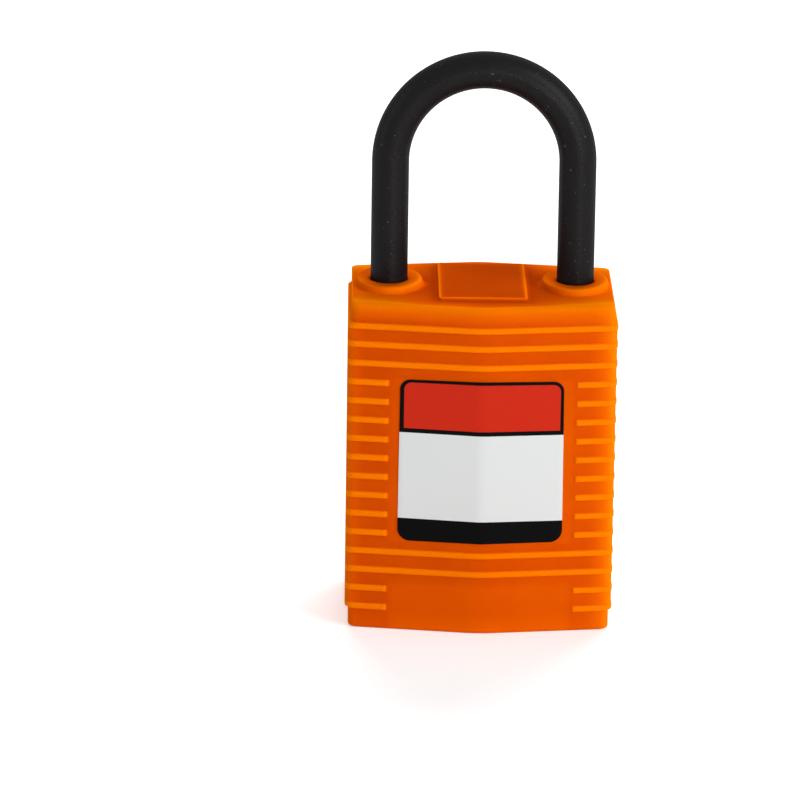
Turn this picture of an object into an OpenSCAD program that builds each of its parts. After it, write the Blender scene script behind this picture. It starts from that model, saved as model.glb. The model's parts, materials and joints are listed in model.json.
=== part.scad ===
// Compact safety lockout padlock: moulded nylon body, nylon shackle and a six-pin rotating core.
// Millimetres. Origin at the centre of the base, +Z up through the shackle, front face towards -Y.

/* [Body] */
// Width of the plain land between each shackle ring and the side of the body
side_land = 0.35; // [0.3:0.05:3]
// Wall between the core cavity and each centre ridge
ridge_wall = 2; // [1.4:0.1:4]
// Height of the body
body_h = 43.4; // [42:0.1:52]
// How far each front and back plane falls back from the ridge to the side
plane_drop = 2.55; // [1.5:0.05:3]
// Radius of the four upright corners
corner_r = 1.2; // [0.6:0.1:2]
// Radius that softens each centre ridge
ridge_r = 12; // [6:0.5:16]
// Rounding of the top edge on the front and back
top_edge_r = 0.9; // [0.4:0.1:1.4]
// Rounding of the top edge on the sides
side_edge_r = 0.3; // [0.1:0.05:0.6]
// Rounding of the bottom edge
base_edge_r = 0.4; // [0.2:0.1:0.8]
// Thickness of the roof over the locking cam
roof_t = 2.2; // [1.8:0.1:3]

/* [Grip] */
// How far the ribbed grip steps out from the plain bands on each side
grip_step = 0.35; // [0.1:0.05:0.6]
// Spacing of the grip ribs
rib_pitch = 2.52; // [2.2:0.02:3]
// Height of each rib
rib_t = 0.65; // [0.4:0.05:1]
// How far a rib stands out of the front and back
rib_proud = 0.3; // [0.1:0.05:0.5]
// How far a rib stands out of the sides
rib_side = 0.1; // [0.05:0.05:0.3]
// Distance from the top of the body down to the middle of the first rib
rib_first = 2.5; // [2:0.1:4]
// Least height of the plain band under the last rib
rim_h = 2.9; // [2.5:0.1:4]
// Height of the low field in which the ribs stop short of the middle
bare_field_h = 7; // [3:0.1:9]

/* [Top face] */
// Height of the ring round each shackle leg
boss_h = 0.95; // [0.5:0.05:1.5]
// Width of each ring at its foot
boss_foot = 2.15; // [1.8:0.05:2.3]
// Width of each ring at its top
boss_land = 1.55; // [1:0.05:1.7]
// Width of the raised pad between the rings
pad_w = 11.8; // [8:0.1:13]
// Reach of the pad towards the front
pad_front = 7.9; // [5:0.1:9]
// Reach of the pad towards the back
pad_back = 10.8; // [8:0.1:11]
// Height of the pad
pad_h = 0.4; // [0.2:0.05:0.8]

/* [Label] */
// Width of the front label
label_w = 21.1; // [16:0.1:22]
// Height of the front label
label_h = 21.6; // [16:0.1:24]
// Distance from the top of the body down to the label
label_drop = 9.65; // [8.8:0.05:11]
// Thickness of the label
label_t = 0.15; // [0.1:0.05:0.25]
// Radius of the label's corners
label_r = 1.3; // [0.5:0.1:3]
// Gap between the label and the ends of the short ribs
label_margin = 1.6; // [1:0.1:2.5]

/* [Shackle] */
// Diameter of the shackle bar
leg_d = 4.7; // [4:0.1:6]
// Distance between the axes of the two legs
leg_spacing = 24.2; // [23.6:0.1:30]
// Clear height from the rings to the inside of the bow
clearance_h = 25.4; // [20:0.1:76]
// Travel of the shackle from shut to open
shackle_lift = 10.6; // [9.6:0.1:12]
// Radial clearance between a leg and its bore
leg_gap = 0.1; // [0.08:0.01:0.25]
// Radial clearance round a leg in the mouth of its ring
mouth_gap = 0.25; // [0.15:0.05:0.5]
// Depth that the locking cam reaches into a leg
notch_bite = 0.9; // [0.7:0.05:1.1]
// Depth of the heel leg's retaining groove
groove_depth = 0.7; // [0.5:0.05:0.8]
// Diameter of the pin that retains the heel leg
heel_pin_d = 1.6; // [1.2:0.1:2]
// Height of the floor under the heel leg's spring
spring_floor = 5.2; // [4:0.1:8]
// Wire diameter of the shackle spring
spring_wire = 0.55; // [0.4:0.05:0.7]

/* [Core] */
// Radius of the turning rotor
rotor_r = 4.9; // [4.8:0.05:5.3]
// Wall of the fixed sleeve round the rotor
sleeve_wall = 1.44; // [1.2:0.02:2]
// Running clearance of turning and sliding metal pieces, on radius
run_gap = 0.06; // [0.02:0.01:0.1]
// Clearance of fixed pieces that slip together, on radius
slip_gap = 0.03; // [0.01:0.01:0.06]
// Width of the entry slot in the core
slot_w = 7.6; // [6.6:0.1:7.8]
// Height of the entry slot in the core
slot_t = 2.3; // [2:0.1:2.5]
// Diameter of the tumbler and driver pins
tumbler_d = 1.4; // [1.1:0.05:1.5]
// Spacing of the tumbler pins across the slot
tumbler_pitch = 2.6; // [2.2:0.05:2.7]
// Distance of each tumbler row from the slot's middle plane
tumbler_row = 1.05; // [1:0.05:1.15]
// Height of the shear plane between rotor and pin block
shear_z = 14; // [13:0.1:16]
// Length of the bores that hold the tumbler pins
tumbler_bore = 5; // [4:0.1:6]
// Length of the driver pins
driver_len = 2.6; // [2:0.1:3]
// Length of each driver spring
driver_spring_len = 4.5; // [3.5:0.1:6]
// Wire diameter of the driver springs
driver_wire = 0.18; // [0.12:0.02:0.22]
// Diameter of the pin that locks the pin block to the sleeve
cross_pin_d = 1.6; // [1.2:0.1:2]
// Diameter of the spindle that drives the cam
spindle_d = 3.6; // [3.2:0.1:4]

/* [Locking cam] */
// Thickness of the locking cam
cam_t = 2; // [1.5:0.1:2.5]
// Width of each wing of the cam
wing_w = 2.2; // [1.8:0.1:3]
// Radius of the cam's hub
hub_r = 3.2; // [2.8:0.1:4]
// Free height above the cam
cam_headroom = 1.6; // [1.4:0.1:2.4]

/* [Hidden] */
$fn = 96;
eps = 0.01;

// How far each of the six tumblers is lifted to bring its top to the shear plane
tumbler_lift = [0.6, 1.2, 1.8, 0.9, 1.5, 1.2];

// Legs and their bores
leg_r = leg_d / 2;
leg_x = leg_spacing / 2;
bore_r = leg_r + leg_gap;
mouth_r = leg_r + mouth_gap;
mouth_step = 0.6;
mouth_depth = boss_h + mouth_step;
boss_top = body_h + boss_h;
bow_z = boss_top + clearance_h - (leg_x - leg_r);

// Locking cam and the cavity that it turns in
cam_z = body_h - roof_t - cam_headroom - cam_t;
wing_r = leg_x - leg_r + notch_bite;
wing_room = 0.35;
cavity_r = wing_r + wing_room;
carrier_gap = 0.05;
carrier_r = cavity_r - carrier_gap;

// Body plan, wide enough for the shackle rings and deep enough for the cavity
half_w = leg_x + leg_r + boss_foot + side_land;
half_d = cavity_r + ridge_wall;
grip_half_w = half_w + grip_step;
plane_angle = atan(plane_drop / half_w);
ridge_apex = half_d + ridge_r * (1 / cos(plane_angle) - 1);
arc_steps = 6;
edge_steps = 5;
big = 8 * (half_w + half_d);

// Notches that the cam holds
notch_gap = 0.15;
notch_floor_x = wing_r + notch_gap;
release_angle = asin(wing_w / 2 / wing_r)
    + acos((wing_r * wing_r + leg_x * leg_x - leg_r * leg_r) / (2 * wing_r * leg_x));
notch_ease = 0.2;
notch_z0 = cam_z - shackle_lift * release_angle / 90 - notch_ease;
notch_z1 = cam_z + cam_t + notch_gap;
toe_rise = 0.4;
toe_room = 0.5;
toe_z = boss_top + toe_rise - shackle_lift;
toe_floor = toe_z - toe_room;

// Heel leg, its groove and its pin
heel_pin_r = heel_pin_d / 2;
heel_pin_drop = 4.6;
heel_pin_z = notch_z0 - heel_pin_drop;
groove_r = leg_r - groove_depth;
groove_gap = 0.15;
groove_z1 = heel_pin_z + heel_pin_r + groove_gap;
groove_z0 = heel_pin_z - heel_pin_r - shackle_lift - groove_gap;
heel_end_h = 2;
heel_z = groove_z0 - heel_end_h;
heel_pin_gap = 0.1;
heel_pin_x = leg_x - groove_r - heel_pin_gap - heel_pin_r;
heel_pin_len = 2 * sqrt(pow(carrier_r, 2) - pow(heel_pin_x + heel_pin_r, 2)) - 2 * heel_pin_gap;
spring_slack = 0.35;
spring_r = leg_r - spring_slack - spring_wire / 2;
spring_turns = 9;
seat_gap = 0.02;

// Core stack from the base upwards
cap_z0 = 0.3;
cap_z1 = 2.9;
sleeve_z0 = 0.6;
lip_t = 0.4;
lip_w = 0.6;
lip_r = rotor_r - lip_w;
plate_t = 1;
plate_z0 = sleeve_z0 + lip_t + slip_gap;
rotor_z0 = plate_z0 + plate_t;
shoulder_z = cap_z1 + carrier_gap;
bore_floor = shear_z - tumbler_bore;
slot_top = bore_floor + 2.5;
tumbler_r = tumbler_d / 2;
pin_bore_r = tumbler_r + 0.04;
block_z0 = shear_z + slip_gap;
chamber_z1 = block_z0 + driver_len + driver_spring_len + 0.05;
cross_pin_r = cross_pin_d / 2;
cross_pin_z = chamber_z1 + 0.7 + cross_pin_r;
block_z1 = cross_pin_z + cross_pin_r + 0.5;
tube_wall = 0.78;
block_r = rotor_r - tube_wall - run_gap;
block_room = 0.6;
disc_z0 = block_z1 + block_room;
disc_t = 1.6;
sleeve_r = rotor_r + run_gap + sleeve_wall;
nose_step = 0.5;
nose_r = sleeve_r - nose_step;
stack_gap = 0.3;
sleeve_z1 = disc_z0 + disc_t + stack_gap;
carrier_z1 = cam_z - stack_gap;
spindle_r = spindle_d / 2;
square_w = spindle_r * 1.38;
stub_r = square_w / 2;
clip_t = 0.5;
clip_z = cam_z + cam_t + 0.08;
spring_coil_r = tumbler_r - 0.1 - driver_wire / 2;
driver_turns = 6;

nylon = [0.93, 0.4, 0.02];
black_nylon = [0.13, 0.12, 0.12];
brass = [0.78, 0.62, 0.3];
steel = [0.72, 0.73, 0.75];

// Points of an arc round a centre, both ends included
function arc(c, r, a0, a1) =
    [for (i = [0:arc_steps]) let (a = a0 + (a1 - a0) * i / arc_steps) c + r * [cos(a), sin(a)]];

// Centre of the corner arc between the side at hw and the front or back plane moved out by proud
function corner_y(hw, proud, r) =
    (sin(plane_angle) * (hw - r) + r) / cos(plane_angle) - ridge_apex - proud / cos(plane_angle);

// Six-sided plan with soft ridges and corners, hw to each side, its planes moved out by proud
function plan(hw, proud) =
    let (a = plane_angle,
         r = max(0.1, corner_r + proud),
         rr = ridge_r + proud,
         ry = -ridge_apex - proud / cos(a) + rr / cos(a),
         cx = hw - r,
         cy = corner_y(hw, proud, r))
    concat(arc([0, ry], rr, -90 - a, -90 + a), arc([cx, cy], r, -90 + a, 0),
           arc([cx, -cy], r, 0, 90 - a), arc([0, -ry], rr, 90 - a, 90 + a),
           arc([-cx, -cy], r, 90 + a, 180), arc([-cx, cy], r, 180, 270 - a));

// Middle height of rib number i, counted from the top
function rib_z(i) = body_h - rib_first - i * rib_pitch;
rib_count = floor((body_h - rib_first - rim_h) / rib_pitch) + 1;
label_z1 = body_h - label_drop;
label_z0 = label_z1 - label_h;
rib_inner = label_w / 2 + label_margin;
function is_short(z) = (z < label_z1 && z > label_z0) || z < bare_field_h;
grip_z0 = rib_z(rib_count - 1) - rib_t / 2;
grip_z1 = rib_z(0) + rib_t / 2;

// Places of the six tumblers: two rows of three
function tumbler_at(i) = [(i % 3 - 1) * tumbler_pitch, (i < 3 ? -1 : 1) * tumbler_row];

// Slab of the plan, hw to each side
module slab(hw, proud, z0, h) {
    translate([0, 0, z0]) linear_extrude(height = h) polygon(plan(hw, proud));
}

// Rounded stretch between a plain slab and the top (dir 1) or the base (dir -1)
module rounded_edge(z, dir, face_r, side_r) {
    hull() for (i = [0:edge_steps]) {
        t = 90 * i / edge_steps;
        pull = 1 - cos(t);
        zi = z + dir * face_r * sin(t);
        slab(half_w - side_r * pull, -face_r * pull, min(zi, zi - dir * eps), eps);
    }
}

// One grip rib, stopped short of the middle beside the label and the low field
module rib(z) {
    difference() {
        slab(grip_half_w + rib_side, rib_proud, z - rib_t / 2, rib_t);
        if (is_short(z))
            translate([-rib_inner, -big / 2, z - rib_t]) cube([2 * rib_inner, big, 2 * rib_t]);
    }
}

// Outside of the body before its bores are cut
module body_form() {
    rounded_edge(body_h - top_edge_r, 1, top_edge_r, side_edge_r);
    slab(half_w, 0, grip_z1, body_h - top_edge_r - grip_z1);
    slab(grip_half_w, 0, grip_z0, grip_z1 - grip_z0);
    slab(half_w, 0, base_edge_r, grip_z0 - base_edge_r);
    rounded_edge(base_edge_r, -1, base_edge_r, base_edge_r);
    for (i = [0:rib_count - 1]) rib(rib_z(i));
    for (x = [-leg_x, leg_x])
        translate([x, 0, body_h - eps])
            cylinder(h = boss_h + eps, r1 = leg_r + boss_foot, r2 = leg_r + boss_land);
    translate([-pad_w / 2, -pad_front, body_h - eps]) cube([pad_w, pad_front + pad_back, pad_h + eps]);
}

// Moulded nylon shell, open at the base for the core carrier
module body_shell() {
    color(nylon) difference() {
        body_form();
        translate([0, 0, -1]) cylinder(h = body_h - roof_t + 1, r = cavity_r);
        translate([-leg_x, 0, spring_floor]) cylinder(h = boss_top, r = bore_r);
        translate([leg_x, 0, toe_floor]) cylinder(h = boss_top, r = bore_r);
        for (x = [-leg_x, leg_x])
            translate([x, 0, boss_top - mouth_depth]) cylinder(h = mouth_depth + 1, r = mouth_r);
    }
}

// Cap that closes the base round the nose of the core
module bottom_cap() {
    color(nylon) difference() {
        translate([0, 0, cap_z0]) cylinder(h = cap_z1 - cap_z0, r = cavity_r - slip_gap);
        translate([0, 0, -1]) cylinder(h = cap_z1 + 2, r = nose_r + slip_gap);
        translate([0, 0, cap_z0 - eps]) cylinder(h = 0.5, r1 = nose_r + 0.5, r2 = nose_r);
    }
}

// Folded vinyl label on the front, bare
module front_label() {
    color([0.9, 0.9, 0.9]) intersection() {
        difference() {
            slab(half_w, label_t, label_z0, label_h);
            slab(half_w, 0, label_z0 - 1, label_h + 2);
        }
        translate([0, 0, (label_z0 + label_z1) / 2]) rotate([90, 0, 0])
            linear_extrude(height = 2 * half_d) rounded_rect(label_w, label_h, label_r);
    }
}

// Rectangle with true round corners, centred
module rounded_rect(w, h, r) {
    square([w - 2 * r, h], center = true);
    square([w, h - 2 * r], center = true);
    for (x = [-1, 1], y = [-1, 1]) translate([x * (w / 2 - r), y * (h / 2 - r)]) circle(r = r);
}

// One-piece bow with a short toe leg and a long heel leg
module shackle() {
    color(black_nylon) difference() {
        union() {
            translate([0, 0, bow_z]) rotate([90, 0, 0]) rotate_extrude(angle = 180)
                translate([leg_x, 0]) circle(r = leg_r);
            leg(leg_x, toe_z);
            leg(-leg_x, heel_z);
        }
        for (s = [-1, 1]) cam_notch(s);
        translate([-leg_x, 0, groove_z0]) difference() {
            cylinder(h = groove_z1 - groove_z0, r = leg_r + 1);
            translate([0, 0, -1]) cylinder(h = groove_z1 - groove_z0 + 2, r = groove_r);
        }
    }
}

// Leg with a chamfered end
module leg(x, z0) {
    chamfer = 0.6;
    translate([x, 0, z0]) cylinder(h = chamfer, r1 = leg_r - chamfer, r2 = leg_r);
    translate([x, 0, z0 + chamfer]) cylinder(h = bow_z - z0 - chamfer, r = leg_r);
}

// Notch in the inner side of a leg that a cam wing enters
module cam_notch(side) {
    near = leg_x - leg_r - 1;
    x0 = side > 0 ? near : -notch_floor_x;
    translate([x0, -leg_r - 1, notch_z0]) cube([notch_floor_x - near, leg_d + 2, notch_z1 - notch_z0]);
}

// Round wire spring from z0 to z1, its end turns closed up flat
module coil_spring(r, wire, turns, z0, z1, sides) {
    steps = 16 * turns;
    h = z1 - z0 - wire;
    // Rise along the spring: slow through the first and last turn, even between them
    rise = function (u) let (t = u * turns, end = wire / 2, free = h - 2 * end)
        t < 1 ? end * t : t > turns - 1 ? h - end * (turns - t) : end + free * (t - 1) / (turns - 2);
    ring = function (i) let (u = i / steps, a = 360 * turns * u, z = z0 + wire / 2 + rise(u))
        [for (k = [0:sides - 1]) let (b = 360 * k / sides, q = r + wire / 2 * cos(b))
            [q * cos(a), q * sin(a), z + wire / 2 * sin(b)]];
    points = [for (i = [0:steps]) each ring(i)];
    skin = [for (i = [0:steps - 1], k = [0:sides - 1])
        let (a = i * sides, b = a + sides, n = (k + 1) % sides) [a + k, b + k, b + n, a + n]];
    triangles = [for (q = skin) each [[q[0], q[1], q[2]], [q[0], q[2], q[3]]]];
    ends = [[for (k = [0:sides - 1]) k], [for (k = [0:sides - 1]) steps * sides + sides - 1 - k]];
    polyhedron(points = points, faces = concat(triangles, ends));
}

// Spring that pushes the shackle up from under its heel
module shackle_spring() {
    color(steel) translate([-leg_x, 0, 0])
        coil_spring(spring_r, spring_wire, spring_turns, spring_floor + seat_gap, heel_z - seat_gap, 8);
}

// Cross pin that keeps the heel leg in the body when the shackle is open
module heel_pin() {
    color(steel) translate([-heel_pin_x, heel_pin_len / 2, heel_pin_z]) rotate([90, 0, 0])
        cylinder(h = heel_pin_len, r = heel_pin_r);
}

// Nylon carrier that fills the shell and holds core, heel pin and spindle bearing
module core_carrier() {
    color(black_nylon) difference() {
        translate([0, 0, shoulder_z]) cylinder(h = carrier_z1 - shoulder_z, r = carrier_r);
        translate([0, 0, shoulder_z - 1])
            cylinder(h = sleeve_z1 + carrier_gap - shoulder_z + 1, r = sleeve_r + slip_gap);
        cylinder(h = body_h, r = spindle_r + run_gap);
        translate([-leg_x, 0, spring_floor]) cylinder(h = body_h, r = bore_r);
        translate([leg_x, 0, toe_floor]) cylinder(h = body_h, r = bore_r);
        translate([-heel_pin_x, carrier_r, heel_pin_z]) rotate([90, 0, 0])
            cylinder(h = carrier_r + heel_pin_len / 2 + slip_gap, r = heel_pin_r + slip_gap);
        sleeve_lug(slip_gap);
    }
}

// Lug along the sleeve that stops it turning in the carrier, grown by gap for its groove
module sleeve_lug(gap) {
    lug_w = 2;
    lug_h = 1;
    translate([-lug_w / 2 - gap, 0, shoulder_z])
        cube([lug_w + 2 * gap, sleeve_r + lug_h + gap, sleeve_z1 - shoulder_z + (gap > 0 ? carrier_gap : 0)]);
}

// Fixed brass sleeve in which the core turns
module core_sleeve() {
    color(brass) difference() {
        union() {
            translate([0, 0, shoulder_z]) cylinder(h = sleeve_z1 - shoulder_z, r = sleeve_r);
            translate([0, 0, sleeve_z0]) cylinder(h = shoulder_z - sleeve_z0, r = nose_r);
            sleeve_lug(0);
        }
        translate([0, 0, sleeve_z0 + lip_t]) cylinder(h = sleeve_z1, r = rotor_r + run_gap);
        cylinder(h = sleeve_z1, r = lip_r);
        cross_bore(slip_gap);
    }
}

// Bore across the core for the block's pin
module cross_bore(gap) {
    translate([0, 0, cross_pin_z]) rotate([0, 90, 0])
        cylinder(h = 2 * sleeve_r + 2, r = cross_pin_r + gap, center = true);
}

// Hardened disc behind the sleeve's lip, with the entry slot
module face_plate() {
    color(steel) difference() {
        translate([0, 0, plate_z0]) cylinder(h = plate_t - slip_gap, r = rotor_r - 0.02);
        translate([-slot_w / 2 + 0.05, -slot_t / 2 + 0.05, 0])
            cube([slot_w - 0.1, slot_t - 0.1, plate_z0 + 2]);
    }
}

// Brass rotor: slot and tumbler bores below, thin tube round the pin block above
module rotor() {
    tube_r = block_r + run_gap;
    window_half = asin((cross_pin_r + 0.15) / tube_r);
    color(brass) difference() {
        translate([0, 0, rotor_z0]) cylinder(h = disc_z0 - rotor_z0, r = rotor_r);
        translate([-slot_w / 2, -slot_t / 2, rotor_z0 - 1]) cube([slot_w, slot_t, slot_top - rotor_z0 + 1]);
        translate([0, 0, shear_z]) cylinder(h = disc_z0, r = tube_r);
        for (i = [0:5])
            translate([each tumbler_at(i), bore_floor]) cylinder(h = tumbler_bore + 1, r = pin_bore_r);
        for (a = [-90 - window_half, 90 - window_half]) rotate([0, 0, a])
            translate([0, 0, cross_pin_z - cross_pin_r - 0.1])
                rotate_extrude(angle = 90 + 2 * window_half)
                    translate([tube_r - 0.3, 0]) square([tube_wall + 1, cross_pin_d + 0.2]);
        drive_tabs(0.04);
    }
}

// Two tabs by which the drive disc is keyed into the rotor's tube, grown by gap for their notches
module drive_tabs(gap) {
    tab_w = 1.6;
    tab_h = disc_z0 - cross_pin_z;
    intersection() {
        rotate([0, 0, 45]) translate([-rotor_r - 1, -tab_w / 2 - gap, disc_z0 - tab_h - gap])
            cube([2 * rotor_r + 2, tab_w + 2 * gap, tab_h + gap + (gap > 0 ? 1 : 0)]);
        difference() {
            cylinder(h = body_h, r = rotor_r + (gap > 0 ? 1 : 0));
            cylinder(h = body_h, r = block_r + run_gap);
        }
    }
}

// Fixed block with the driver chambers, inside the rotor's tube
module pin_block() {
    color(brass) difference() {
        translate([0, 0, block_z0]) cylinder(h = block_z1 - block_z0, r = block_r);
        for (i = [0:5])
            translate([each tumbler_at(i), block_z0 - 1])
                cylinder(h = chamber_z1 - block_z0 + 1, r = pin_bore_r);
        cross_bore(slip_gap);
    }
}

// Pin through sleeve, rotor windows and pin block
module cross_pin() {
    color(steel) translate([0, 0, cross_pin_z]) rotate([0, 90, 0])
        cylinder(h = 2 * sleeve_r - 0.3, r = cross_pin_r, center = true);
}

// Disc and spindle that carry the rotor's turn up to the cam
module drive_spindle() {
    color(steel) difference() {
        union() {
            translate([0, 0, disc_z0]) cylinder(h = disc_t, r = rotor_r);
            drive_tabs(0);
            translate([0, 0, disc_z0]) cylinder(h = cam_z - 0.1 - disc_z0, r = spindle_r);
            translate([-square_w / 2, -square_w / 2, cam_z - 0.2]) cube([square_w, square_w, cam_t + 0.22]);
            translate([0, 0, cam_z]) cylinder(h = cam_t + cam_headroom - 0.3, r = stub_r);
        }
        translate([0, 0, clip_z - 0.03]) difference() {
            cylinder(h = clip_t + 0.06, r = spindle_r);
            cylinder(h = clip_t + 0.06, r = stub_r - 0.35);
        }
    }
}

// Steel cam whose two wings hold the notches of both legs
module locking_cam() {
    color(steel) translate([0, 0, cam_z]) difference() {
        union() {
            cylinder(h = cam_t, r = hub_r);
            intersection() {
                cylinder(h = cam_t, r = wing_r);
                translate([-wing_r, -wing_w / 2, 0]) cube([2 * wing_r, wing_w, cam_t]);
            }
        }
        translate([-square_w / 2 - 0.04, -square_w / 2 - 0.04, -1])
            cube([square_w + 0.08, square_w + 0.08, cam_t + 2]);
    }
}

// Open spring clip in the spindle's groove over the cam
module cam_clip() {
    clip_in = stub_r - 0.3;
    color(steel) translate([0, 0, clip_z]) rotate([0, 0, 120]) rotate_extrude(angle = 300)
        translate([clip_in, 0]) square([stub_r + 0.9 - clip_in, clip_t]);
}

// Tumbler pin number i, resting at the foot of its bore in the rotor
module tumbler_pin(i) {
    color(brass) translate([each tumbler_at(i), bore_floor + seat_gap])
        cylinder(h = tumbler_bore - 2 * seat_gap - tumbler_lift[i], r = tumbler_r);
}

// Driver pin number i, its foot at the shear plane
module driver_pin(i) {
    color(steel) translate([each tumbler_at(i), block_z0]) cylinder(h = driver_len, r = tumbler_r);
}

// Spring over driver pin number i
module driver_spring(i) {
    foot = block_z0 + driver_len + seat_gap;
    color(steel) translate([each tumbler_at(i), 0])
        coil_spring(spring_coil_r, driver_wire, driver_turns, foot, chamber_z1 - seat_gap, 6);
}

body_shell();
bottom_cap();
front_label();
shackle();
shackle_spring();
heel_pin();
core_carrier();
core_sleeve();
face_plate();
rotor();
pin_block();
cross_pin();
drive_spindle();
locking_cam();
cam_clip();
for (i = [0:5]) {
    tumbler_pin(i);
    driver_pin(i);
    driver_spring(i);
}
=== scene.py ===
"""Looks of a lockout padlock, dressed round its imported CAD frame, for Blender 4.5.

The moulded body, the label and the bow are surfaces worked out with numpy in millimetres and put
into their meshes in metres. The cap and the end of the core are copies of their CAD solids with
broken edges, and the springs are copies that follow their joints. The other inner pieces keep
their CAD solids and get their finishes. Everything stands in the frame of the CAD model: origin at
the centre of the base, +Z up through the bow, labelled face towards -Y.
"""

import json
import logging
import math
from dataclasses import dataclass, field
from enum import Enum
from functools import partial

import bmesh
import bpy
import numpy as np
from bpy.types import ID, Material, NodeSocket, NodeTree, Object, World
from mathutils import Matrix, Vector
from mathutils.geometry import delaunay_2d_cdt

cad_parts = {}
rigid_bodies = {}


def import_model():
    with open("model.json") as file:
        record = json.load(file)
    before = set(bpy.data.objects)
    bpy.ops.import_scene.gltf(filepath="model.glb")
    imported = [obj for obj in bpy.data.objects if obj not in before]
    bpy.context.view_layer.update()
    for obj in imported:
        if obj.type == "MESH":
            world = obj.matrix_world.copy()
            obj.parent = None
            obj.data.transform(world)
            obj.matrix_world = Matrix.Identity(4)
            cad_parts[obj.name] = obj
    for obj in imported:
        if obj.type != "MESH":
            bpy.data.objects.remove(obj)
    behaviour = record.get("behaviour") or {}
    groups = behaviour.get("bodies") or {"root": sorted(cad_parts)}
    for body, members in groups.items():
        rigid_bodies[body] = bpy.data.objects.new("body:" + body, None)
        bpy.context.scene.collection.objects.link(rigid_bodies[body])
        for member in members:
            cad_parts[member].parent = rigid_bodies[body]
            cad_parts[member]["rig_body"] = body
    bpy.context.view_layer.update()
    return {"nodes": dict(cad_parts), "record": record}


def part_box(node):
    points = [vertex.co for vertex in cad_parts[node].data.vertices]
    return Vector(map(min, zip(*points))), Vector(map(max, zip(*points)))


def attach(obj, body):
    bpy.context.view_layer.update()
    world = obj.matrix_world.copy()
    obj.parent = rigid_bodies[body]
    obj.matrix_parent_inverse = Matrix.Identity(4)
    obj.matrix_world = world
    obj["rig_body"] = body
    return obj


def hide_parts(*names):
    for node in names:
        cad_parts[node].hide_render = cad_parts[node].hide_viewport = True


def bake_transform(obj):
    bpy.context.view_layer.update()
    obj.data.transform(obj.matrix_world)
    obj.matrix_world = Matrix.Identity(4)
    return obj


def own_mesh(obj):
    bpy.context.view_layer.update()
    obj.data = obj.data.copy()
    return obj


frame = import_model()

MM = 0.001
Pair = tuple[float, float]
log = logging.getLogger("padlock")


class Slot(Enum):
    """The record's material slots."""

    BODY = "body_nylon"
    BLACK = "black_nylon"
    LABEL = "label_vinyl"
    BRASS = "core_brass"
    STEEL = "core_steel"
    SPRING = "spring_steel"


# Shapes


def ease(share: np.ndarray) -> np.ndarray:
    """Quarter circle: the root of 1 less the square of what share, 0 to 1, lacks of 1."""
    return np.sqrt(1 - (1 - np.clip(share, 0, 1)) ** 2)


def enclosed(spots: np.ndarray, starts: np.ndarray, ends: np.ndarray) -> np.ndarray:
    """Finds which spots lie inside an outline and outside its holes.

    A ray from such a spot along +x crosses the edges of the outline and holes an odd number of times.

    Args:
        spots: Points in the plane.
        starts: First point of each edge.
        ends: Second point of each edge.

    Returns:
        Whether each spot is enclosed.
    """
    x, y = spots[:, :1], spots[:, 1:]
    spans = (starts[:, 1] > y) != (ends[:, 1] > y)
    rise = np.where(ends[:, 1] == starts[:, 1], 1, ends[:, 1] - starts[:, 1])
    crossing = starts[:, 0] + (ends[:, 0] - starts[:, 0]) * (y - starts[:, 1]) / rise
    return (spans & (x < crossing)).sum(1) % 2 == 1


def turned(profile: np.ndarray, sides: int, centre: Pair = (0, 0)) -> np.ndarray:
    """Turns a profile round an upright axis.

    A point at radius r and height z goes to centre + r (cos a, sin a) at height z, for each angle a.

    Args:
        profile: Radius and height of each point along the profile.
        sides: Number of points round the axis.
        centre: Place of the axis.

    Returns:
        The grid of points, a row for each point of the profile.
    """
    angle = np.linspace(0, 2 * np.pi, sides, endpoint=False)
    radius, height = profile[:, :1], profile[:, 1:]
    return np.stack([centre[0] + radius * np.cos(angle), centre[1] + radius * np.sin(angle),
                     height + 0 * angle], -1)


def bend(centre: Pair, radius: float, start: float, end: float, steps: int) -> np.ndarray:
    """Points of an arc: centre + radius (cos a, sin a), with a from start to end in degrees."""
    angle = np.radians(np.linspace(start, end, steps))
    return np.stack([centre[0] + radius * np.cos(angle), centre[1] + radius * np.sin(angle)], -1)


def placed(name: str, data: ID) -> Object:
    """Puts a mesh, lamp or camera into the scene.

    Args:
        name: Name of the object.
        data: What it shows.

    Returns:
        The new object, at the origin.
    """
    thing = bpy.data.objects.new(name, data)
    bpy.context.scene.collection.objects.link(thing)
    return thing


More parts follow.
